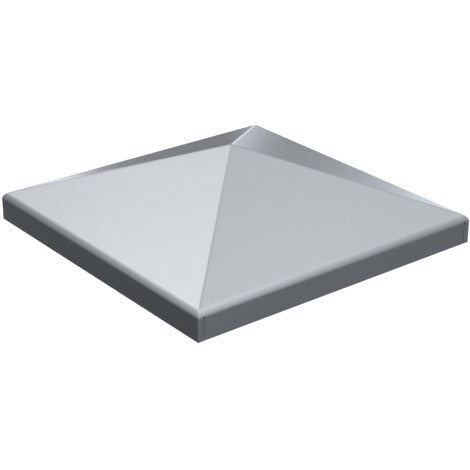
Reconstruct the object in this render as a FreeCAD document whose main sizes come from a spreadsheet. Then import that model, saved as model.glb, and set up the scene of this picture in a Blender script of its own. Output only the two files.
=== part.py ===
import FreeCAD, Part
import math
import os
import Sketcher

# Square fence post cap: a shallow pyramid roof with short skirts that slip over the end of a
# square post.  The shell is four panels of sheet metal, each one a triangle of roof, a rounded
# eave bend and a skirt.  The front and back skirts run the full width and cover the sheet edges
# of the left and right skirts.  Weld beads inside hold the panels together, rubber pads in the
# corners seat the post, and adhesive strips inside the skirts hold the cap on it.
#
# Frame: millimetres, +Z up, origin at the centre of the skirts' bottom rim, front towards -Y.

# Driving dimensions: alias, value, meaning.
SIZES = [
    ("overall_width", 105.0, "outside width across two opposite skirts"),
    ("sheet_gauge", 2.0, "sheet thickness"),
    ("roof_pitch", 21.4, "slope of each roof face, degrees"),
    ("peak_height", 29.3, "height at which the four roof faces would meet in a point"),
    ("eave_inner_radius", 0.8, "inside radius of the bend between roof and skirt"),
    ("hip_radius", 2.0, "outside radius of the four hip creases"),
    ("seam_gap", 0.12, "open seam between a side skirt's end and the skirt that covers it"),
    ("relief_width", 0.35, "width of the relief slot at the top of each seam"),
    ("relief_height", 0.65, "height of a relief slot, up into the eave bend"),
    ("trim_margin", 1.0, "how far a cutting shape runs past what it cuts"),
    ("hip_bead_radius", 3.5, "radius of a hip weld's crown"),
    ("hip_bead_throat", 1.4, "depth of a hip weld below the inside of the hip"),
    ("hip_bead_end", 41.5, "distance of a hip weld's lower end from the centre, along X and Y"),
    ("peak_bead_radius", 9.0, "radius of the peak weld's crown"),
    ("peak_bead_throat", 2.5, "depth of the peak weld below the inside of the peak"),
    ("corner_bead_leg", 1.2, "leg of a corner weld"),
    ("corner_bead_start", 0.6, "height of a corner weld's lower end"),
    ("corner_bead_length", 5.4, "length of a corner weld"),
    ("seat_height", 6.5, "height of the flat underside of the seat pads"),
    ("seat_leg", 16.0, "length of a seat pad along each skirt"),
    ("seat_clearance", 0.5, "space between a seat pad and the skirts"),
    ("seat_corner_cut", 1.5, "cut off a seat pad's outer corner, to clear the corner weld"),
    ("strip_gauge", 0.4, "thickness of an adhesive strip"),
    ("strip_length", 80.0, "length of an adhesive strip"),
    ("strip_width", 4.5, "width of an adhesive strip, up the skirt"),
    ("strip_start", 1.0, "height of an adhesive strip's lower edge"),
]

# Worked-out dimensions: alias, formula on the cells above, meaning.
DERIVED = [
    ("half_width", "overall_width / 2", "half the outside width"),
    ("inner_half_width", "half_width - sheet_gauge", "half the clear width inside the skirts"),
    ("eave_outer_radius", "eave_inner_radius + sheet_gauge", "outside radius of the eave bend"),
    ("bend_height",
     "peak_height - half_width * tan(roof_pitch * 1deg)"
     " - eave_outer_radius * tan((90deg - roof_pitch * 1deg) / 2)",
     "height at which the skirt ends and the eave bend begins"),
    ("inner_peak_height", "peak_height - sheet_gauge / cos(roof_pitch * 1deg)",
     "height of the roof's underside at the peak"),
    ("hip_pitch", "atan(tan(roof_pitch * 1deg) / sqrt(2)) / 1deg", "slope of a hip line, degrees"),
]

# Corners and sides as (name, turn about +Z in degrees from the front or the front right corner).
SIDES = [("front", 0), ("right", 90), ("back", 180), ("left", 270)]
CORNERS = [("front_right", 0), ("back_right", 90), ("back_left", 180), ("front_left", 270)]

UP = FreeCAD.Vector(0, 0, 1)
LEAST_CUT = 0.1  # mm3 that a cut must remove, or it missed the sheet
NEAR = 1e-6  # mm within which two positions count as the same

doc = FreeCAD.newDocument("fence_post_cap")
sheet = doc.addObject("Spreadsheet::Sheet", "sizes")
parts = []


def fill_sheet():
    """Write the driving cells as plain numbers and the worked-out cells as formulas."""
    rows = [(alias, str(value), meaning) for alias, value, meaning in SIZES]
    rows += [(alias, "=" + formula, meaning) for alias, formula, meaning in DERIVED]
    for row, (alias, content, meaning) in enumerate(rows, start=1):
        sheet.set(f"A{row}", alias)
        sheet.set(f"B{row}", content)
        sheet.set(f"C{row}", meaning)
        sheet.setAlias(f"B{row}", alias)
    doc.recompute()


def size(alias):
    """A cell's value as a plain number."""
    return float(getattr(sheet.get(alias), "Value", sheet.get(alias)))


def bind(item, **formulas):
    """Bind properties of a document object to formulas on the sheet's cells."""
    for name, formula in formulas.items():
        item.setExpression(name.replace("__", "."), formula)


def turned(degrees):
    """A placement that turns a piece about the cap's vertical axis."""
    return FreeCAD.Placement(FreeCAD.Vector(), FreeCAD.Rotation(UP, degrees))


def keep(item, label):
    """Give a finished sub-part its name and add it to the ones that are written."""
    item.Label = label
    parts.append(item)
    return item


def origin_plane(body, role):
    return next(item for item in body.Origin.OriginFeatures if item.Role == role)


def sketch_in(body, name, role):
    sketch = body.newObject("Sketcher::SketchObject", name)
    sketch.AttachmentSupport = [(origin_plane(body, role), "")]
    sketch.MapMode = "FlatFace"
    return sketch


def number(sketch, formula):
    result = sketch.evalExpression(formula)
    return float(getattr(result, "Value", result))


def outline(sketch, corners):
    """A closed outline of straight lines whose corners are pairs of formulas."""
    points = [FreeCAD.Vector(number(sketch, x), number(sketch, y), 0) for x, y in corners]
    first = sketch.GeometryCount
    count = len(points)
    for index, point in enumerate(points):
        sketch.addGeometry(Part.LineSegment(point, points[(index + 1) % count]), False)
    for index in range(count):
        follower = first + (index + 1) % count
        sketch.addConstraint(Sketcher.Constraint("Coincident", first + index, 2, follower, 1))
    for index, (formulas, point) in enumerate(zip(corners, points)):
        for kind, formula, value in zip(("DistanceX", "DistanceY"), formulas, (point.x, point.y)):
            constraint = Sketcher.Constraint(kind, -1, 1, first + index, 1, value)
            place = sketch.addConstraint(constraint)
            sketch.setExpression(f"Constraints[{place}]", formula)


def panel_section(body):
    """The sheet's section through skirt, eave bend and roof, from the front to the centre."""
    sketch = sketch_in(body, "section", "YZ_Plane")
    slope = math.radians(size("roof_pitch"))
    half, gauge = size("half_width"), size("sheet_gauge")
    inner, outer = size("eave_inner_radius"), size("eave_outer_radius")
    centre = FreeCAD.Vector(-half + outer, size("bend_height"), 0)
    square_to_roof = FreeCAD.Vector(-math.sin(slope), math.cos(slope), 0)
    rim_out = FreeCAD.Vector(-half, 0, 0)
    rim_in = FreeCAD.Vector(-half + gauge, 0, 0)
    skirt_top_out = centre - FreeCAD.Vector(outer, 0, 0)
    skirt_top_in = centre - FreeCAD.Vector(inner, 0, 0)
    roof_foot_out = centre + square_to_roof * outer
    roof_foot_in = centre + square_to_roof * inner
    peak_out = FreeCAD.Vector(0, size("peak_height"), 0)
    peak_in = FreeCAD.Vector(0, size("inner_peak_height"), 0)

    def bend(radius):
        circle = Part.Circle(centre, UP, radius)
        return Part.ArcOfCircle(circle, math.pi / 2 + slope, math.pi)

    skirt, eave, roof, ridge, ceiling, eave_in, skirt_in, rim = range(8)
    sketch.addGeometry([
        Part.LineSegment(rim_out, skirt_top_out),
        bend(outer),
        Part.LineSegment(roof_foot_out, peak_out),
        Part.LineSegment(peak_out, peak_in),
        Part.LineSegment(peak_in, roof_foot_in),
        bend(inner),
        Part.LineSegment(skirt_top_in, rim_in),
        Part.LineSegment(rim_in, rim_out),
    ], False)
    sketch.addConstraint([
        Sketcher.Constraint("Tangent", skirt, 2, eave, 2),
        Sketcher.Constraint("Tangent", eave, 1, roof, 1),
        Sketcher.Constraint("Coincident", roof, 2, ridge, 1),
        Sketcher.Constraint("Coincident", ridge, 2, ceiling, 1),
        Sketcher.Constraint("Tangent", ceiling, 2, eave_in, 1),
        Sketcher.Constraint("Tangent", eave_in, 2, skirt_in, 1),
        Sketcher.Constraint("Coincident", skirt_in, 2, rim, 1),
        Sketcher.Constraint("Coincident", rim, 2, skirt, 1),
        Sketcher.Constraint("Coincident", eave, 3, eave_in, 3),
        Sketcher.Constraint("Vertical", skirt),
        Sketcher.Constraint("Vertical", skirt_in),
        Sketcher.Constraint("Vertical", ridge),
        Sketcher.Constraint("Horizontal", rim),
        Sketcher.Constraint("Parallel", roof, ceiling),
        Sketcher.Constraint("PointOnObject", rim, 1, -1),
        Sketcher.Constraint("PointOnObject", ridge, 1, -2),
    ])
    driven = [
        (Sketcher.Constraint("DistanceX", skirt, 1, -1, 1, half), "sizes.half_width"),
        (Sketcher.Constraint("DistanceX", rim, 2, rim, 1, gauge), "sizes.sheet_gauge"),
        (Sketcher.Constraint("DistanceY", -1, 1, roof, 2, peak_out.y), "sizes.peak_height"),
        (Sketcher.Constraint("Radius", eave_in, inner), "sizes.eave_inner_radius"),
        (Sketcher.Constraint("Angle", roof, slope), "sizes.roof_pitch * 1deg"),
    ]
    for constraint, formula in driven:
        place = sketch.addConstraint(constraint)
        sketch.setExpression(f"Constraints[{place}]", formula)
    return sketch


def cut(body, sketch, name, **length):
    """Cut a sketch upwards out of a body and make sure that material went."""
    before = body.Shape.Volume
    pocket = body.newObject("PartDesign::Pocket", name)
    pocket.Profile = sketch
    pocket.Reversed = True
    if length:
        bind(pocket, **length)
    else:
        pocket.Type = "ThroughAll"
    doc.recompute()
    if body.Shape.Volume > before - LEAST_CUT:
        raise RuntimeError(f"{body.Label}: {name} cut nothing")


def cut_relief(body, reach):
    """Slots through the foot of the eave bend, centred on the seams at the skirt's two ends."""
    seam = "(sizes.inner_half_width - sizes.seam_gap / 2)"
    near = f"({seam} - sizes.relief_width / 2)"
    far = f"({seam} + sizes.relief_width / 2)"
    slots = sketch_in(body, "relief", "XY_Plane")
    bind(slots, AttachmentOffset__Base__z="sizes.bend_height")
    for sign in ("", "-"):
        outline(slots, [
            (f"{sign}{near}", f"-{reach}"),
            (f"{sign}{far}", f"-{reach}"),
            (f"{sign}{far}", "-sizes.inner_half_width + sizes.trim_margin"),
            (f"{sign}{near}", "-sizes.inner_half_width + sizes.trim_margin"),
        ])
    doc.recompute()
    cut(body, slots, "relief_slots", Length="sizes.relief_height")


def panel_blank(side, turn, covers_corners):
    """One folded panel with mitred roof edges, before its hips are rounded."""
    body = doc.addObject("PartDesign::Body", f"blank_{side}")
    pad = body.newObject("PartDesign::Pad", "fold")
    pad.Profile = panel_section(body)
    pad.SideType = "Symmetric"
    bind(pad, Length="sizes.overall_width")
    doc.recompute()

    # Roof and bend end at the upright planes through the hips; the skirt below stays whole.
    reach = "(sizes.half_width + sizes.trim_margin)"
    mitre = sketch_in(body, "mitre", "XY_Plane")
    bind(mitre, AttachmentOffset__Base__z="sizes.bend_height")
    outline(mitre, [
        ("0", "0"),
        (reach, f"-{reach}"),
        (reach, "sizes.trim_margin"),
        (f"-{reach}", "sizes.trim_margin"),
        (f"-{reach}", f"-{reach}"),
    ])
    doc.recompute()
    cut(body, mitre, "mitred_edges")

    # A side panel's skirt stops short of the front and back skirts that cover its ends.
    if not covers_corners:
        end = "(sizes.inner_half_width - sizes.seam_gap)"
        ends = sketch_in(body, "skirt_ends", "XY_Plane")
        for sign in ("", "-"):
            outline(ends, [
                (f"{sign}{end}", f"-{reach}"),
                (f"{sign}{reach}", f"-{reach}"),
                (f"{sign}{reach}", "-sizes.inner_half_width + sizes.trim_margin"),
                (f"{sign}{end}", "-sizes.inner_half_width + sizes.trim_margin"),
            ])
        doc.recompute()
        cut(body, ends, "short_skirt", Length="sizes.bend_height")
        cut_relief(body, reach)
    body.Placement = turned(turn)
    return body


def pyramid(name, peak):
    """A square pyramid with the roof's pitch, its peak at the height in the cell `peak`."""
    wedge = doc.addObject("Part::Wedge", name)
    foot = "sizes.trim_margin"
    half = f"((sizes.{peak} + {foot}) / tan(sizes.roof_pitch * 1deg))"
    bind(wedge, Ymin=f"-{foot} * 1mm", Ymax=f"sizes.{peak} * 1mm")
    bind(wedge, Xmin=f"-{half} * 1mm", Xmax=f"{half} * 1mm")
    bind(wedge, Zmin=f"-{half} * 1mm", Zmax=f"{half} * 1mm")
    for edge in ("X2min", "X2max", "Z2min", "Z2max"):
        setattr(wedge, edge, 0)
    wedge.Placement = FreeCAD.Placement(
        FreeCAD.Vector(), FreeCAD.Rotation(FreeCAD.Vector(1, 0, 0), 90))
    doc.recompute()
    return wedge


def boolean(kind, name, base, tool):
    item = doc.addObject(f"Part::{kind}", name)
    item.Base = base
    item.Tool = tool
    doc.recompute()
    return item


def rounded_roof():
    """The outside of the whole roof as one form, with its four hips rounded."""
    sharp = pyramid("sharp_roof", "peak_height")
    peak = FreeCAD.Vector(0, 0, size("peak_height"))
    radius = size("hip_radius")
    form = doc.addObject("Part::Fillet", "rounded_roof")
    form.Base = sharp
    form.Edges = [
        (index, radius, radius)
        for index, edge in enumerate(sharp.Shape.Edges, start=1)
        if any(vertex.Point.isEqual(peak, NEAR) for vertex in edge.Vertexes)
    ]
    doc.recompute()
    return form


def make_panels():
    roof = rounded_roof()
    for side, turn in SIDES:
        blank = panel_blank(side, turn, covers_corners=side in ("front", "back"))
        keep(boolean("Common", f"panel_{side}", blank, roof), f"panel_{side}")


def cavity_form():
    """The whole space inside the shell: the inner section run both ways and intersected."""
    runs = []
    for name, turn in (("cavity_across", 0), ("cavity_along", 90)):
        body = doc.addObject("PartDesign::Body", name)
        sketch = sketch_in(body, "inside", "YZ_Plane")
        half = "sizes.inner_half_width"
        wall_top = "sizes.inner_peak_height - sizes.inner_half_width * tan(sizes.roof_pitch * 1deg)"
        outline(sketch, [
            (f"-{half}", "-sizes.trim_margin"),
            (half, "-sizes.trim_margin"),
            (half, wall_top),
            ("0", "sizes.inner_peak_height"),
            (f"-{half}", wall_top),
        ])
        pad = body.newObject("PartDesign::Pad", "run")
        pad.Profile = sketch
        pad.SideType = "Symmetric"
        bind(pad, Length="sizes.inner_half_width * 2")
        doc.recompute()
        eaves = [
            f"Edge{index}" for index, edge in enumerate(pad.Shape.Edges, start=1)
            if edge.Length > size("inner_half_width") and edge.CenterOfMass.z > 0
            and abs(abs(edge.CenterOfMass.y) - size("inner_half_width")) < NEAR
            and abs(edge.CenterOfMass.x) < NEAR
        ]
        rounding = body.newObject("PartDesign::Fillet", "inner_bends")
        rounding.Base = (pad, eaves)
        bind(rounding, Radius="sizes.eave_inner_radius")
        body.Placement = turned(turn)
        doc.recompute()
        runs.append(body)
    return boolean("Common", "cavity", runs[0], runs[1])


def make_welds(cavity):
    """Beads along the underside of the hips, a button at the peak and beads in the corners."""
    crown = doc.addObject("Part::Sphere", "peak_crown")
    lift = "(sizes.peak_bead_radius - sizes.peak_bead_throat)"
    bind(crown, Radius="sizes.peak_bead_radius * 1mm")
    bind(crown, Placement__Base__z=f"(sizes.inner_peak_height + {lift}) * 1mm")
    keep(boolean("Common", "peak_weld", crown, cavity), "peak_weld")

    pitch = size("hip_pitch")
    drop = math.tan(math.radians(pitch)) * math.sqrt(2)
    foot_height = size("inner_peak_height") - size("hip_bead_end") * drop
    rise = size("hip_bead_radius") - size("hip_bead_throat")
    for corner, turn in CORNERS:
        # A rod along the hip; the part of it below the roof's underside is the bead.
        rod = doc.addObject("Part::Cylinder", f"hip_rod_{corner}")
        bind(rod, Radius="sizes.hip_bead_radius * 1mm")
        bind(rod, Height="sizes.hip_bead_end * sqrt(2) / cos(sizes.hip_pitch * 1deg) * 1mm")
        up_the_hip = FreeCAD.Rotation(UP, 135) * FreeCAD.Rotation(FreeCAD.Vector(0, 1, 0), 90 - pitch)
        foot = FreeCAD.Vector(size("hip_bead_end"), -size("hip_bead_end"), foot_height)
        out_of_the_roof = up_the_hip.multVec(FreeCAD.Vector(-1, 0, 0))
        along = FreeCAD.Placement(foot + out_of_the_roof * rise, up_the_hip)
        rod.Placement = turned(turn).multiply(along)
        doc.recompute()
        bead = boolean("Common", f"hip_bead_{corner}", rod, cavity)
        keep(boolean("Cut", f"hip_weld_{corner}", bead, crown), f"hip_weld_{corner}")

        pin = doc.addObject("Part::Cylinder", f"corner_rod_{corner}")
        bind(pin, Radius="sizes.corner_bead_leg * 1mm", Height="sizes.corner_bead_length * 1mm")
        inner = size("inner_half_width")
        place = FreeCAD.Vector(inner, -inner, size("corner_bead_start"))
        pin.Placement = turned(turn).multiply(FreeCAD.Placement(place, FreeCAD.Rotation()))
        doc.recompute()
        keep(boolean("Common", f"corner_weld_{corner}", pin, cavity), f"corner_weld_{corner}")


def make_seat_pads(cavity):
    """Wedges of rubber under the roof in the corners, flat below, where the post's end bears."""
    for corner, turn in CORNERS:
        body = doc.addObject("PartDesign::Body", f"pad_block_{corner}")
        sketch = sketch_in(body, "plan", "XY_Plane")
        bind(sketch, AttachmentOffset__Base__z="sizes.seat_height")
        near = "(sizes.inner_half_width - sizes.seat_clearance)"
        short = "(sizes.inner_half_width - sizes.seat_clearance - sizes.seat_corner_cut)"
        far = "(sizes.inner_half_width - sizes.seat_clearance - sizes.seat_leg)"
        outline(sketch, [
            (near, f"-{short}"),
            (near, f"-{far}"),
            (far, f"-{near}"),
            (short, f"-{near}"),
        ])
        pad = body.newObject("PartDesign::Pad", "block")
        pad.Profile = sketch
        bind(pad, Length="sizes.inner_peak_height - sizes.seat_height")
        body.Placement = turned(turn)
        doc.recompute()
        keep(boolean("Common", f"seat_pad_{corner}", body, cavity), f"seat_pad_{corner}")


def make_strips():
    """Adhesive strips on the inner faces of the skirts."""
    for side, turn in SIDES:
        strip = doc.addObject("Part::Box", f"adhesive_strip_{side}")
        bind(strip, Length="sizes.strip_length * 1mm", Width="sizes.strip_gauge * 1mm")
        bind(strip, Height="sizes.strip_width * 1mm")
        place = FreeCAD.Vector(
            -size("strip_length") / 2, -size("inner_half_width"), size("strip_start"))
        strip.Placement = turned(turn).multiply(FreeCAD.Placement(place, FreeCAD.Rotation()))
        keep(strip, f"adhesive_strip_{side}")
    doc.recompute()


def check_document():
    """Stop if any object failed to build or a sub-part isn't one sound solid."""
    for item in doc.Objects:
        if {"Invalid", "Error"} & set(item.State):
            raise RuntimeError(f"{item.Name} failed: {item.State}")
    for item in parts:
        shape = item.Shape
        if shape.isNull() or not shape.isValid() or len(shape.Solids) != 1:
            raise RuntimeError(f"{item.Label} isn't one valid solid")


def write_parts():
    os.makedirs("parts", exist_ok=True)
    for item in parts:
        item.Shape.exportStep(f"parts/{item.Label}.step")
        print(f"{item.Label}: {item.Shape.Volume:.1f} mm3")


fill_sheet()
make_panels()
space = cavity_form()
make_welds(space)
make_seat_pads(space)
make_strips()
doc.recompute()
check_document()
write_parts()
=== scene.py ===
import math

import bmesh
import bpy
from mathutils import Matrix, Vector, noise


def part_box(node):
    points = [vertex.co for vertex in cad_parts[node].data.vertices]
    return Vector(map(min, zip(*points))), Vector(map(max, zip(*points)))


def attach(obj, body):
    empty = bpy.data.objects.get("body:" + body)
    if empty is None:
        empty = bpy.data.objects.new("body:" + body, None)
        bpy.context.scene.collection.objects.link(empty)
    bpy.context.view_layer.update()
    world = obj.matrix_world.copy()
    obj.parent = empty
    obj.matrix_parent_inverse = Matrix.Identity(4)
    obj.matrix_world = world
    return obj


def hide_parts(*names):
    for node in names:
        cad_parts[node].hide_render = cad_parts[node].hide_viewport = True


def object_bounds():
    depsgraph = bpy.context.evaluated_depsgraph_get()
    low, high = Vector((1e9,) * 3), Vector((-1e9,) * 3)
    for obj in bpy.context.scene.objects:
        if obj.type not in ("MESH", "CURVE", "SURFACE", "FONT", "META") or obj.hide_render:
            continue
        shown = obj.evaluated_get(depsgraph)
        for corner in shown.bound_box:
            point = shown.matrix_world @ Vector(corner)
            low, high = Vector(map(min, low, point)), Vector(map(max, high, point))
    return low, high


# Square fence post cap: four folded panels of satin sheet metal, welded inside, with rubber
# seat pads and adhesive strips for the post.  Metres, +Z up, front towards -Y.

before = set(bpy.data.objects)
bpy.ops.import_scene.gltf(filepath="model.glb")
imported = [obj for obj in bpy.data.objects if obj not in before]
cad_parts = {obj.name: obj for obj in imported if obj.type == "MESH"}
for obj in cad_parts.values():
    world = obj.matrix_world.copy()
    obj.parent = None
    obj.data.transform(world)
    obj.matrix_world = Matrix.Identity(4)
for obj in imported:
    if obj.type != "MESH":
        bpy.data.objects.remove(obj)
cad_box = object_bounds()
CAD_TOP = cad_box[1][2]

SIDES = [("front", 0), ("right", 90), ("back", 180), ("left", 270)]
CORNERS = [("front_right", 0), ("back_right", 90), ("back_left", 180), ("front_left", 270)]

# The cap's driving dimensions, in metres.
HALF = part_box("panel_front")[1].x
GAUGE = 0.002
SEAM_GAP = 0.00012
RELIEF_WIDTH = 0.00035
RELIEF_HEIGHT = 0.00065
PITCH = math.radians(21.4)
PEAK = 0.0293
EAVE_INNER_RADIUS = 0.0008
EAVE_OUTER_RADIUS = EAVE_INNER_RADIUS + GAUGE
HIP_RADIUS = 0.002
EDGE_RADIUS = 0.0002

BEND_TURN = math.pi / 2 - PITCH
BEND_HEIGHT = PEAK - HALF * math.tan(PITCH) - EAVE_OUTER_RADIUS * math.tan(BEND_TURN / 2)
INNER_HALF = HALF - GAUGE
INNER_PEAK = PEAK - GAUGE / math.cos(PITCH)
HIP_PITCH = math.atan(math.tan(PITCH) / math.sqrt(2))
HIP_HALF_TURN = math.acos(math.cos(PITCH) ** 2) / 2

# Mesh steps round the eave bend and over a hip; segments of a rounded edge.
BEND_STEPS = 14
HIP_STEPS = 6
EDGE_SEGMENTS = 3
# Rows across the roof: shares of the way down to its foot, then distances close to the peak.
ROOF_SHARES = (0.985, 0.96, 0.8, 0.6, 0.4, 0.2)
PEAK_ROWS = [0.0044, 0.003, 0.002, 0.0014, 0.001, 0.00073, 0.0005, 0.0003, 0.00015]
# Distance within which two positions count as the same, and the shortest edge that is kept.
NEAR = 1e-7
LEAST_EDGE = 1e-6

# Weld beads under the hips, in the skirt corners and under the peak.  Each ripple of a bead is
# RIPPLE_STEPS rows long, and rises over most of its length, then falls over the rest.
RIPPLE_STEPS = 7
RIPPLE_RISE = 0.82
RIPPLE_FALL = 0.18
RIPPLE_BOW = 0.55
BEAD_COLUMNS = 12
BEAD_START = 0.0018
BEAD_END = 0.0415
BEAD_HALF_WIDTH = 0.0022
BEAD_CROWN_RADIUS = 0.0035
BEAD_THROAT = 0.0014
BEAD_RIPPLE = 0.0012
BEAD_RIPPLE_DEPTH = 0.00012
BEAD_BITE = 0.00003
CORNER_COLUMNS = 10
CORNER_LEG = 0.0012
CORNER_START = 0.0006
CORNER_LENGTH = 0.0054
CORNER_RIPPLE = 0.0008
CORNER_RIPPLE_DEPTH = 0.00007
BUTTON_SEGMENTS = 96
BUTTON_RINGS = 26
BUTTON_CROWN_RADIUS = 0.009
BUTTON_THROAT = 0.0025
BUTTON_RIPPLE = 0.0011
BUTTON_RIPPLE_DEPTH = 0.00010

# Rubber seat pads and adhesive strips.
PAD_HEIGHT = 0.0065
PAD_LEG = 0.016
PAD_CLEARANCE = 0.0005
PAD_CORNER_CUT = 0.0015
PAD_EDGE = 0.00025
STRIP_GAUGE = 0.0004
STRIP_LENGTH = 0.080
STRIP_WIDTH = 0.0045
STRIP_START = 0.001
STRIP_CORNER = 0.0006
STRIP_CORNER_STEPS = 6
STRIP_EDGE = 0.00006


def add_mesh(name, points, faces):
    """A mesh object from points and faces, with coincident points merged."""
    mesh = bpy.data.meshes.new(name)
    mesh.from_pydata(points, [], faces)
    solid = bmesh.new()
    solid.from_mesh(mesh)
    bmesh.ops.remove_doubles(solid, verts=solid.verts, dist=NEAR)
    bmesh.ops.recalc_face_normals(solid, faces=solid.faces)
    solid.to_mesh(mesh)
    solid.free()
    piece = bpy.data.objects.new(name, mesh)
    bpy.context.scene.collection.objects.link(piece)
    return piece


def smooth(piece, sharp_degrees=35):
    """Smooth shading with crisp edges, and flat faces that stay flat beside a rounded edge."""
    piece.data.shade_smooth()
    piece.data.set_sharp_from_angle(angle=math.radians(sharp_degrees))
    weighting = piece.modifiers.new("weighted_normals", "WEIGHTED_NORMAL")
    weighting.keep_sharp = True


def turn(piece, degrees):
    """Turn a piece's mesh about the cap's upright axis."""
    piece.data.transform(Matrix.Rotation(math.radians(degrees), 4, "Z"))


def place(piece, node, material):
    """Put a finished piece in the frame in place of its CAD node."""
    piece.data.materials.clear()
    piece.data.materials.append(material)
    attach(piece, "root")
    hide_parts(node)
    return piece


# ---------------------------------------------------------------- panels

def hip_cut(distance):
    """How far the rounded hip lies below the sharp one, at a plan distance from the hip's plane."""
    if distance >= HIP_RADIUS * math.sin(HIP_HALF_TURN):
        return 0.0
    sharp = -distance * math.tan(HIP_HALF_TURN)
    crown = -HIP_RADIUS / math.cos(HIP_HALF_TURN) + math.sqrt(HIP_RADIUS ** 2 - distance ** 2)
    return (sharp - crown) / math.cos(HIP_PITCH)


def roof_height(across, reach):
    """Height of the roof's outside at a point of the front panel."""
    cuts = [hip_cut((reach - side * across) / math.sqrt(2)) for side in (-1, 1)]
    return min(PEAK - reach * math.tan(PITCH) - max(cuts), CAD_TOP)


def bend_rows(radius):
    """(reach, height) round the eave bend, from the skirt's top to the roof's foot."""
    centre = HALF - EAVE_OUTER_RADIUS
    rows = []
    for step in range(BEND_STEPS + 1):
        angle = BEND_TURN * step / BEND_STEPS
        rows.append((centre + radius * math.cos(angle), BEND_HEIGHT + radius * math.sin(angle)))
    return rows


def roof_reaches(foot):
    """Distances from the centre of the rows across the roof, closer together near the peak."""
    return [foot * share for share in ROOF_SHARES] + PEAK_ROWS


def ends_of_row(reach, offsets):
    """X positions of a row's points, from its left end to its right end."""
    scale = min(1.0, reach / 2 / max(offsets))
    right = [reach - offset * scale for offset in sorted(offsets, reverse=True)]
    return [-x for x in reversed(right)] + right


def panel(name, covers_corners):
    """One folded panel in the front's place: skirt, eave bend and a triangle of roof."""
    tangent = HIP_RADIUS * math.sin(HIP_HALF_TURN) * math.sqrt(2)
    band = GAUGE + SEAM_GAP
    outer_ends = [band + GAUGE / 2, band] + [tangent * n / HIP_STEPS for n in range(HIP_STEPS + 1)]
    inner_ends = [GAUGE / 2, SEAM_GAP, 0.0]
    points, faces = [], []

    def row(xs, reach, heights):
        first = len(points)
        points.extend((x, -reach, z) for x, z in zip(xs, heights))
        return list(range(first, len(points)))

    def join(lower, upper):
        for index in range(len(lower) - 1):
            faces.append((lower[index], lower[index + 1], upper[index + 1], upper[index]))

    def surface(radius, ends, rounded):
        """Rows from the skirt's top over the bend and roof to the peak."""
        peak = PEAK if rounded else INNER_PEAK
        bend = bend_rows(radius)
        rows = []
        for reach, height in bend:
            xs = ends_of_row(reach, ends)
            heights = [min(height, roof_height(x, reach)) if rounded else height for x in xs]
            rows.append(row(xs, reach, heights))
        for reach in roof_reaches(bend[-1][0]):
            xs = ends_of_row(reach, ends)
            flat = peak - reach * math.tan(PITCH)
            heights = [roof_height(x, reach) if rounded else flat for x in xs]
            rows.append(row(xs, reach, heights))
        top = roof_height(0, 0) if rounded else peak
        rows.append(row([0.0] * len(rows[0]), 0.0, [top] * len(rows[0])))
        for lower, upper in zip(rows, rows[1:]):
            join(lower, upper)
        return rows

    outside = surface(EAVE_OUTER_RADIUS, outer_ends, True)
    inside = surface(EAVE_INNER_RADIUS, inner_ends, False)

    # The mitred faces stand in the upright planes through the hips.
    for end in (0, -1):
        for lower in range(len(outside) - 1):
            faces.append((outside[lower][end], outside[lower + 1][end],
                          inside[lower + 1][end], inside[lower][end]))

    # The skirt, down from the bend's first rows, with the step between it and the bend's ends.
    skirt_end = HALF if covers_corners else HALF - band
    outer_top = [i for i in outside[0] if abs(points[i][0]) <= skirt_end + NEAR]
    inner_top = [i for i in inside[0] if abs(points[i][0]) <= skirt_end + NEAR]
    if covers_corners:
        added = row([-skirt_end, skirt_end], INNER_HALF, [BEND_HEIGHT] * 2)
        for corner, end in zip(added, (0, -1)):
            faces.append((inside[0][end], outside[0][end], corner))
        inner_top = [added[0]] + inner_top + [added[1]]
    else:
        spare = len(outside[0]) - len(outer_top)
        over = spare // 2
        left = outside[0][:over + 1] + inside[0][1::-1]
        right = outside[0][-over - 1:] + inside[0][:-3:-1]
        faces.extend([tuple(left), tuple(right)])
    outer_rim = row([points[i][0] for i in outer_top], HALF, [0.0] * len(outer_top))
    inner_rim = row([points[i][0] for i in inner_top], INNER_HALF, [0.0] * len(inner_top))
    join(outer_rim, outer_top)
    join(inner_rim, inner_top)
    faces.append(tuple(outer_rim + inner_rim[::-1]))
    for end in (0, -1):
        faces.append((outer_rim[end], outer_top[end], inner_top[end], inner_rim[end]))

    piece = add_mesh(name, points, faces)
    break_edges(piece, skirt_end)
    if not covers_corners:
        cut_relief(piece)
    smooth(piece)
    return piece


def break_edges(piece, skirt_end):
    """Round the cut edges of the skirt: its rim and its two upright ends."""
    solid = bmesh.new()
    solid.from_mesh(piece.data)
    chosen = []
    for edge in solid.edges:
        tops = [vertex.co.z for vertex in edge.verts]
        if len(edge.link_faces) != 2 or max(tops) > BEND_HEIGHT + NEAR:
            continue
        on_rim = max(tops) < NEAR
        on_end = all(abs(abs(vertex.co.x) - skirt_end) < NEAR for vertex in edge.verts)
        upright = on_end and max(tops) - min(tops) > BEND_HEIGHT / 2
        if edge.calc_face_angle(0) > math.radians(60) and (on_rim or upright):
            chosen.append(edge)
    bmesh.ops.bevel(solid, geom=chosen, offset=EDGE_RADIUS, segments=EDGE_SEGMENTS, profile=0.5,
                    affect="EDGES", clamp_overlap=True)
    bmesh.ops.dissolve_degenerate(solid, edges=solid.edges, dist=LEAST_EDGE)
    bmesh.ops.recalc_face_normals(solid, faces=solid.faces)
    solid.to_mesh(piece.data)
    solid.free()


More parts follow.
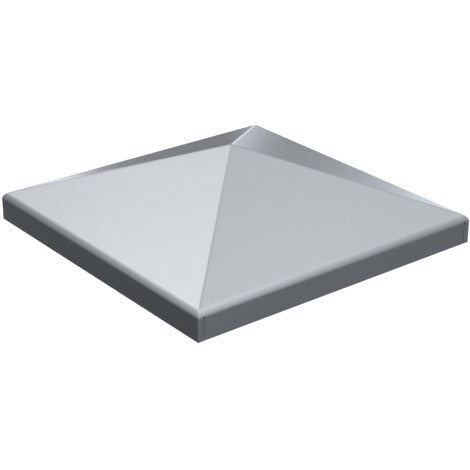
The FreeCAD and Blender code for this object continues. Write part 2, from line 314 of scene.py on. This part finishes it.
def cut_relief(piece):
    """Slots through the foot of the eave bend, centred on the seams."""
    overlap = EDGE_RADIUS / 10
    for side in (-1, 1):
        bpy.ops.mesh.primitive_cube_add(size=1)
        cutter = bpy.context.object
        cutter.scale = (RELIEF_WIDTH, 2 * GAUGE, RELIEF_HEIGHT + overlap)
        cutter.location = (side * (INNER_HALF - SEAM_GAP / 2), -HALF + GAUGE,
                           BEND_HEIGHT + (RELIEF_HEIGHT - overlap) / 2)
        carving = piece.modifiers.new("relief", "BOOLEAN")
        carving.operation = "DIFFERENCE"
        carving.solver = "EXACT"
        carving.object = cutter
        bpy.context.view_layer.update()
        carved = bpy.data.meshes.new_from_object(
            piece.evaluated_get(bpy.context.evaluated_depsgraph_get()))
        piece.modifiers.remove(carving)
        piece.data = carved
        bpy.data.objects.remove(cutter)


# ---------------------------------------------------------------- welds, pads and strips

def bead_solid(name, free, back, closes_round=False):
    """A closed solid from two facing grids of points: the free surface and the one on the metal.

    A bead has four rims where the grids meet.  One that closes round has only its outer rim.
    """
    points, faces = [], []
    index = {}
    for layer, grid in (("free", free), ("back", back)):
        for r, line in enumerate(grid):
            for c, point in enumerate(line):
                index[layer, r, c] = len(points)
                points.append(point)
    last_row, last_column = len(free) - 1, len(free[0]) - 1
    for layer in ("free", "back"):
        for r in range(last_row):
            for c in range(last_column):
                faces.append((index[layer, r, c], index[layer, r, c + 1],
                              index[layer, r + 1, c + 1], index[layer, r + 1, c]))
    for r in range(last_row):
        for c in (last_column,) if closes_round else (0, last_column):
            faces.append((index["free", r, c], index["free", r + 1, c],
                          index["back", r + 1, c], index["back", r, c]))
    for c in range(0 if closes_round else last_column):
        for r in (0, last_row):
            faces.append((index["free", r, c], index["free", r, c + 1],
                          index["back", r, c + 1], index["back", r, c]))
    return add_mesh(name, points, faces)


def ripple(along, across, period):
    """Height from 0 to 1 of a weld's overlapping ripples, bowed across it, a little uneven."""
    drift = noise.noise(Vector((along / 0.004, across, 3.7))) * 0.35
    phase = (along / period - RIPPLE_BOW * across ** 2 + drift) % 1.0
    if phase < RIPPLE_RISE:
        return phase ** 0.6
    return ((1 - phase) / RIPPLE_FALL) ** 0.8 * 0.89


def hip_bead(name):
    """A rippled bead in the fold under the front right hip."""
    along = Vector((math.cos(HIP_PITCH) / math.sqrt(2), -math.cos(HIP_PITCH) / math.sqrt(2),
                    -math.sin(HIP_PITCH)))
    down = Vector((-math.sin(HIP_PITCH) / math.sqrt(2), math.sin(HIP_PITCH) / math.sqrt(2),
                   -math.cos(HIP_PITCH)))
    aside = Vector((1, 1, 0)) / math.sqrt(2)
    top = Vector((0, 0, INNER_PEAK))
    start, end = BEAD_START, BEAD_END * math.sqrt(2) / math.cos(HIP_PITCH)
    length = end - start
    rows = int(length / (BEAD_RIPPLE / RIPPLE_STEPS))
    free, back = [], []
    for r in range(rows + 1):
        run = start + length * r / rows
        to_end = min(run - start, end - run)
        taper = math.sqrt(max(0.0, 1 - (1 - min(1.0, to_end / BEAD_HALF_WIDTH)) ** 2))
        waver = 1 - 0.05 * (1 + noise.noise(Vector((run / 0.005, 1.3, 0.4))))
        free_line, back_line = [], []
        for c in range(BEAD_COLUMNS + 1):
            u = 2 * c / BEAD_COLUMNS - 1
            v = u * BEAD_HALF_WIDTH * waver * max(taper, 0.02)
            fold = abs(v) * math.tan(HIP_HALF_TURN)
            crown = BEAD_THROAT - BEAD_CROWN_RADIUS + math.sqrt(BEAD_CROWN_RADIUS ** 2 - v ** 2)
            height = max(0.0, crown - fold) * taper
            height *= 0.93 * (1 - u ** 8)
            dip = BEAD_RIPPLE_DEPTH * (1 - ripple(run, u, BEAD_RIPPLE)) * (1 - u ** 4)
            height -= min(height, dip)
            spot = top + along * run + aside * v
            free_line.append(spot + down * (fold + height))
            back_line.append(spot + down * (fold - BEAD_BITE))
        free.append(free_line)
        back.append(back_line)
    return bead_solid(name, free, back)


def corner_bead(name):
    """A rippled upright bead in the front right corner between two skirts."""
    rows = int(CORNER_LENGTH / (CORNER_RIPPLE / RIPPLE_STEPS))
    free, back = [], []
    for r in range(rows + 1):
        run = CORNER_LENGTH * r / rows
        to_end = min(run, CORNER_LENGTH - run)
        taper = math.sqrt(max(0.0, 1 - (1 - min(1.0, to_end / (CORNER_LEG * 0.6))) ** 2))
        free_line, back_line = [], []
        for c in range(CORNER_COLUMNS + 1):
            at = c / CORNER_COLUMNS
            turn_in = math.pi / 2 * c / CORNER_COLUMNS
            u = 2 * c / CORNER_COLUMNS - 1
            uneven = 0.96 + 0.03 * noise.noise(Vector((run / 0.002, u, 8.1)))
            leg = CORNER_LEG * max(taper, 0.05) * uneven
            dip = CORNER_RIPPLE_DEPTH * (1 - ripple(run, u, CORNER_RIPPLE)) * (1 - u ** 4) * taper
            reach = leg - dip
            z = CORNER_START + run
            free_line.append((INNER_HALF - reach * math.cos(turn_in),
                              -INNER_HALF + reach * math.sin(turn_in), z))
            along_one, along_two = max(0.0, 1 - 2 * at) * leg, max(0.0, 2 * at - 1) * leg
            back_line.append((INNER_HALF - along_one + BEAD_BITE * (along_one == 0),
                              -INNER_HALF + along_two - BEAD_BITE * (along_two == 0), z))
        free.append(free_line)
        back.append(back_line)
    return bead_solid(name, free, back)


def peak_button(name):
    """A low rippled button of weld under the peak, over the upper ends of the four beads."""

    def ceiling(x, y):
        return INNER_PEAK - max(abs(x), abs(y)) * math.tan(PITCH)

    def crown(radius):
        return INNER_PEAK + BUTTON_CROWN_RADIUS - BUTTON_THROAT - math.sqrt(
            BUTTON_CROWN_RADIUS ** 2 - radius ** 2)

    def edge(angle):
        """Radius at which the crown meets the ceiling, found by halving."""
        low, high = 0.0, BUTTON_CROWN_RADIUS
        for _ in range(40):
            middle = (low + high) / 2
            x, y = middle * math.cos(angle), middle * math.sin(angle)
            low, high = (middle, high) if crown(middle) < ceiling(x, y) else (low, middle)
        return low

    free, back = [], []
    for s in range(BUTTON_SEGMENTS + 1):
        angle = 2 * math.pi * (s % BUTTON_SEGMENTS) / BUTTON_SEGMENTS
        limit = edge(angle) * 0.99
        free_line, back_line = [], []
        for r in range(BUTTON_RINGS + 1):
            radius = limit * r / BUTTON_RINGS
            x, y = radius * math.cos(angle), radius * math.sin(angle)
            roof = ceiling(x, y)
            thick = roof - crown(radius)
            lumps = 0.05 * (1 + noise.noise(Vector((x / 0.0022, y / 0.0022, 5.2))))
            swirl = ripple(radius + 0.0006 * angle / math.pi, 0, BUTTON_RIPPLE)
            thick *= (1 - lumps)
            thick -= min(thick, BUTTON_RIPPLE_DEPTH * (1 - swirl) * min(1.0, 3 * r / BUTTON_RINGS))
            free_line.append((x, y, roof - thick))
            back_line.append((x, y, roof + BEAD_BITE))
        free.append(free_line)
        back.append(back_line)
    return bead_solid(name, free, back, closes_round=True)


def rounded(piece, radius, above=20):
    """Round every edge that turns by more than an angle, in degrees."""
    solid = bmesh.new()
    solid.from_mesh(piece.data)
    chosen = [edge for edge in solid.edges if edge.calc_face_angle(0) > math.radians(above)]
    bmesh.ops.bevel(solid, geom=chosen, offset=radius, segments=EDGE_SEGMENTS, profile=0.5,
                    affect="EDGES", clamp_overlap=True)
    bmesh.ops.recalc_face_normals(solid, faces=solid.faces)
    solid.to_mesh(piece.data)
    solid.free()


def seat_pad(name):
    """A wedge of rubber in the front right corner, flat below, against the roof above."""
    near = INNER_HALF - PAD_CLEARANCE
    short, far = near - PAD_CORNER_CUT, near - PAD_LEG
    plan = [(near, -short), (near, -far), ((near + far) / 2, -(near + far) / 2),
            (far, -near), (short, -near), ((near + short) / 2, -(near + short) / 2)]
    points = [(x, y, PAD_HEIGHT) for x, y in plan]
    points += [(x, y, INNER_PEAK - max(abs(x), abs(y)) * math.tan(PITCH)) for x, y in plan]
    faces = [tuple(range(6)), (6, 7, 8, 11), (8, 9, 10, 11)]
    faces += [(i, (i + 1) % 6, 6 + (i + 1) % 6, 6 + i) for i in range(6)]
    piece = add_mesh(name, points, faces)
    rounded(piece, PAD_EDGE)
    smooth(piece)
    return piece


def adhesive_strip(name):
    """A strip of foam tape on the inside of the front skirt, its corners rounded."""
    x, low, high = STRIP_LENGTH / 2, STRIP_START, STRIP_START + STRIP_WIDTH
    corners = [(x, low, -90), (x, high, 0), (-x, high, 90), (-x, low, 180)]
    rim = []
    for cx, cz, first in corners:
        centre = (cx - math.copysign(STRIP_CORNER, cx),
                  cz + (STRIP_CORNER if cz == low else -STRIP_CORNER))
        for step in range(STRIP_CORNER_STEPS + 1):
            angle = math.radians(first + 90 * step / STRIP_CORNER_STEPS)
            rim.append((centre[0] + STRIP_CORNER * math.cos(angle),
                        centre[1] + STRIP_CORNER * math.sin(angle)))
    count = len(rim)
    points = [(px, -INNER_HALF, pz) for px, pz in rim]
    points += [(px, -INNER_HALF + STRIP_GAUGE, pz) for px, pz in rim]
    faces = [tuple(range(count)), tuple(range(count, 2 * count))]
    faces += [(i, (i + 1) % count, count + (i + 1) % count, count + i) for i in range(count)]
    piece = add_mesh(name, points, faces)
    rounded(piece, STRIP_EDGE, above=60)
    smooth(piece)
    return piece


# ---------------------------------------------------------------- materials

def principled(name):
    """A new material and its shader."""
    material = bpy.data.materials.new(name)
    material.use_nodes = True
    return material, material.node_tree.nodes["Principled BSDF"]


def grain(material, scale, low, high, detail=4.0):
    """Noise in the object's own coordinates, mapped to a range."""
    nodes, links = material.node_tree.nodes, material.node_tree.links
    place_node = nodes.new("ShaderNodeTexCoord")
    texture = nodes.new("ShaderNodeTexNoise")
    texture.inputs["Scale"].default_value = scale
    texture.inputs["Detail"].default_value = detail
    spread = nodes.new("ShaderNodeMapRange")
    spread.inputs["To Min"].default_value = low
    spread.inputs["To Max"].default_value = high
    links.new(place_node.outputs["Object"], texture.inputs["Vector"])
    links.new(texture.outputs["Fac"], spread.inputs["Value"])
    return spread.outputs["Result"]


def bump(material, shader, height, strength, distance):
    """A fine relief on a surface, up to a distance in metres."""
    nodes, links = material.node_tree.nodes, material.node_tree.links
    node = nodes.new("ShaderNodeBump")
    node.inputs["Strength"].default_value = strength
    node.inputs["Distance"].default_value = distance
    links.new(height, node.inputs["Height"])
    links.new(node.outputs["Normal"], shader.inputs["Normal"])


def tinted(material, value, dark, light):
    """A colour between two, by a value from 0 to 1."""
    nodes, links = material.node_tree.nodes, material.node_tree.links
    mix = nodes.new("ShaderNodeMix")
    mix.data_type = "RGBA"
    mix.inputs["A"].default_value = (*dark, 1)
    mix.inputs["B"].default_value = (*light, 1)
    links.new(value, mix.inputs["Factor"])
    return mix.outputs["Result"]


def satin_metal():
    """Satin sheet: a cool light grey with a fine grain and faint cloudiness."""
    material, shader = principled("satin_sheet")
    links = material.node_tree.links
    shader.distribution = "GGX"
    shader.inputs["Metallic"].default_value = 1.0
    clouds = grain(material, 60, 0, 1)
    colour = tinted(material, clouds, (0.826, 0.863, 0.890), (0.850, 0.887, 0.914))
    links.new(colour, shader.inputs["Base Color"])
    links.new(grain(material, 180, 0.18, 0.22), shader.inputs["Roughness"])
    bump(material, shader, grain(material, 6000, 0, 1, 2.0), 0.05, 0.00002)
    return material


def weld_metal():
    """As-welded metal: duller and rougher than the sheet, and uneven."""
    material, shader = principled("weld_metal")
    links = material.node_tree.links
    shader.inputs["Metallic"].default_value = 1.0
    colour = tinted(material, grain(material, 700, 0, 1), (0.50, 0.51, 0.52), (0.74, 0.75, 0.76))
    links.new(colour, shader.inputs["Base Color"])
    links.new(grain(material, 1500, 0.32, 0.52), shader.inputs["Roughness"])
    bump(material, shader, grain(material, 3000, 0, 1), 0.3, 0.00005)
    return material


def rubber():
    """Matte black rubber."""
    material, shader = principled("pad_rubber")
    links = material.node_tree.links
    colour = tinted(material, grain(material, 400, 0, 1),
                    (0.020, 0.020, 0.021), (0.040, 0.040, 0.041))
    links.new(colour, shader.inputs["Base Color"])
    links.new(grain(material, 900, 0.55, 0.75), shader.inputs["Roughness"])
    bump(material, shader, grain(material, 4000, 0, 1), 0.4, 0.00006)
    return material


def adhesive_foam():
    """Grey acrylic foam tape."""
    material, shader = principled("adhesive_foam")
    links = material.node_tree.links
    colour = tinted(material, grain(material, 2500, 0, 1), (0.22, 0.23, 0.24), (0.36, 0.37, 0.38))
    links.new(colour, shader.inputs["Base Color"])
    links.new(grain(material, 1500, 0.45, 0.7), shader.inputs["Roughness"])
    bump(material, shader, grain(material, 5000, 0, 1), 0.35, 0.00004)
    return material


# ---------------------------------------------------------------- stage

class Formula:
    """Arithmetic on shader values, written as node chains."""

    def __init__(self, tree):
        self.nodes = tree.nodes
        self.links = tree.links

    def math(self, operation, *values):
        node = self.nodes.new("ShaderNodeMath")
        node.operation = operation
        for socket, value in zip(node.inputs, values):
            if isinstance(value, (int, float)):
                socket.default_value = value
            else:
                self.links.new(value, socket)
        return node.outputs[0]

    def ramp(self, value, start, end, low=0.0, high=1.0):
        """low below start, high above end, with a smooth step between them."""
        node = self.nodes.new("ShaderNodeMapRange")
        node.interpolation_type = "SMOOTHSTEP"
        node.inputs["From Min"].default_value = start
        node.inputs["From Max"].default_value = end
        node.inputs["To Min"].default_value = low
        node.inputs["To Max"].default_value = high
        self.links.new(value, node.inputs["Value"])
        return node.outputs["Result"]

    def window(self, value, start, end, soft_in, soft_out):
        """1 between start and end, falling smoothly to 0 outside them."""
        rise = self.ramp(value, start - soft_in, start)
        fall = self.ramp(value, end, end + soft_out, 1.0, 0.0)
        return self.math("MULTIPLY", rise, fall)


def soft_studio():
    """A plain studio sky: dark low down, bright overhead, with soft lights and shades around it."""
    world = bpy.data.worlds.new("studio")
    world.use_nodes = True
    bpy.context.scene.world = world
    tree = world.node_tree
    formula = Formula(tree)
    where = tree.nodes.new("ShaderNodeTexCoord")
    split = tree.nodes.new("ShaderNodeSeparateXYZ")
    tree.links.new(where.outputs["Generated"], split.inputs["Vector"])
    x, y, z = split.outputs
    elevation = formula.math("MULTIPLY", formula.math("ARCSINE", z), 180 / math.pi)
    heading = formula.math("MULTIPLY", formula.math("ARCTAN2", y, x), 180 / math.pi)
    azimuth = formula.math("FLOORED_MODULO", heading, 360.0)

    horizon = formula.ramp(elevation, -22, 12, 0.15, 0.385)
    overhead = formula.ramp(elevation, 5, 55, 0.0, 0.20)
    total = formula.math("ADD", horizon, overhead)

    # Each: azimuth from, to, softness before and after; elevation from, to, softness; strength.
    # Azimuths run from +X towards +Y.  A light that starts after it ends never reaches its
    # whole strength.
    lights = [
        (180, 172, 40, 48, 44, 90, 16, 0.36),       # large soft light, high on the left
        (75, 111, 20, 12, 52, 90, 7, 0.07),         # its faint twin, high on the right
        (120, 152, 14, 28, 40, 70, 20, -0.07),      # the gap between the two
        (216, 260, 36, 40, -90, 90, 1, -0.08),      # dark wall, left
        (205, 225, 15, 20, 6, 22, 8, -0.025),       # darkest just above the horizon
        (50, 75, 15, 30, -90, 0, 12, -0.012),       # slightly darker floor, right
        (80, 95, 20, 20, -90, -10, 12, -0.05),      # and towards the back
        (110, 134, 20, 6, -30, 0, 8, 0.03),         # pale floor behind
        (95, 127, 5, 9.6, -26, 0, 8, 0.35),         # low panel behind, right, soft at its end
        (95, 130.3, 5, 1.0, -26, 0, 8, 0.24),       # and a crisper one in front of it
        (138.2, 142, 1.8, 1.6, -26, 0, 8, 0.66),    # narrow panel behind the back left corner
        (151.3, 175, 2.4, 15, -26, 10, 12, 0.35),   # low panel behind, left
        (151.0, 151.4, 1.9, 1.1, -26, 10, 12, 0.46),    # and its bright edge
    ]
    for start, end, soft_in, soft_out, bottom, top, soft, strength in lights:
        across = formula.window(azimuth, start, end, soft_in, soft_out)
        up = formula.window(elevation, bottom, top, soft, soft)
        glow = formula.math("MULTIPLY", formula.math("MULTIPLY", across, up), strength)
        total = formula.math("ADD", total, glow)

    # The lights stand close, so their reflections fade along the eaves, away from the front corner.
    right_run = formula.math("MULTIPLY", formula.ramp(y, 0.50, 0.70, 0.24, -0.24),
                             formula.ramp(x, -0.10, 0.40))
    front_run = formula.math("MULTIPLY", formula.ramp(x, -0.84, -0.68, -0.24, 0.24),
                             formula.ramp(y, -0.35, 0.05, 1.0, 0.0))
    runs = formula.math("MULTIPLY", formula.math("ADD", right_run, front_run),
                        formula.ramp(elevation, -26, 2))
    total = formula.math("MULTIPLY", total, formula.math("ADD", runs, 1.0))

    # The light is bluer low down.
    tint = tree.nodes.new("ShaderNodeMix")
    tint.data_type = "RGBA"
    tint.inputs["A"].default_value = (0.945, 1.0, 1.075, 1)
    tint.inputs["B"].default_value = (0.988, 1.0, 1.010, 1)
    tree.links.new(formula.ramp(elevation, -28, 50), tint.inputs["Factor"])

    background = tree.nodes["Background"]
    tree.links.new(tint.outputs["Result"], background.inputs["Color"])
    tree.links.new(total, background.inputs["Strength"])

    # The camera sees plain white behind the cap.
    plain = tree.nodes.new("ShaderNodeBackground")
    plain.inputs["Color"].default_value = (1, 1, 1, 1)
    seen = tree.nodes.new("ShaderNodeLightPath")
    pick = tree.nodes.new("ShaderNodeMixShader")
    tree.links.new(seen.outputs["Is Camera Ray"], pick.inputs["Fac"])
    tree.links.new(background.outputs[0], pick.inputs[1])
    tree.links.new(plain.outputs[0], pick.inputs[2])
    tree.links.new(pick.outputs[0], tree.nodes["World Output"].inputs["Surface"])


def floor():
    """A plain pale floor under the cap, kept out of the metal's reflections."""
    bpy.ops.mesh.primitive_circle_add(vertices=64, radius=12, fill_type="NGON")
    ground = bpy.context.object
    ground.name = "floor"
    material, shader = principled("pale_floor")
    shader.inputs["Base Color"].default_value = (0.9, 0.9, 0.9, 1)
    shader.inputs["Roughness"].default_value = 1.0
    shader.inputs["Specular IOR Level"].default_value = 0.0
    shader.inputs["Emission Color"].default_value = (1, 1, 1, 1)
    shader.inputs["Emission Strength"].default_value = 0.62
    ground.data.materials.append(material)
    ground.visible_glossy = False


def camera():
    """Over the front right, 52 degrees round from the front and 23 degrees up."""
    azimuth, elevation = math.radians(51.93), math.radians(23.03)
    width = 2 * HALF
    aim = Vector((0, 0, 0.12 * width))
    away = Vector((math.sin(azimuth) * math.cos(elevation),
                   -math.cos(azimuth) * math.cos(elevation),
                   math.sin(elevation)))
    data = bpy.data.cameras.new("camera")
    data.lens = 109.4
    data.sensor_width = 36
    data.shift_x = 0.0078
    data.shift_y = -0.0880
    data.clip_start = 0.01
    item = bpy.data.objects.new("camera", data)
    item.location = aim + away * 4.271 * width
    item.rotation_euler = away.to_track_quat("Z", "Y").to_euler()
    bpy.context.scene.collection.objects.link(item)
    bpy.context.scene.camera = item


# ---------------------------------------------------------------- making

camera()
soft_studio()
floor()
bpy.context.scene.view_settings.view_transform = "Standard"

sheet_metal = satin_metal()
weld = weld_metal()
pad_rubber = rubber()
foam = adhesive_foam()

for side, degrees in SIDES:
    piece = panel(f"{side}_panel", covers_corners=side in ("front", "back"))
    turn(piece, degrees)
    place(piece, f"panel_{side}", sheet_metal)

    strip = adhesive_strip(f"{side}_strip")
    turn(strip, degrees)
    place(strip, f"adhesive_strip_{side}", foam)

for corner, degrees in CORNERS:
    for make, label, node, material, slot in (
            (hip_bead, "hip_bead", "hip_weld", weld, "weld"),
            (corner_bead, "corner_bead", "corner_weld", weld, "weld"),
            (seat_pad, "pad", "seat_pad", pad_rubber, "rubber")):
        piece = make(f"{corner}_{label}")
        if slot == "weld":
            smooth(piece, sharp_degrees=60)
        turn(piece, degrees)
        place(piece, f"{node}_{corner}", material)

button = peak_button("peak_button")
smooth(button, sharp_degrees=60)
place(button, "peak_weld", weld)
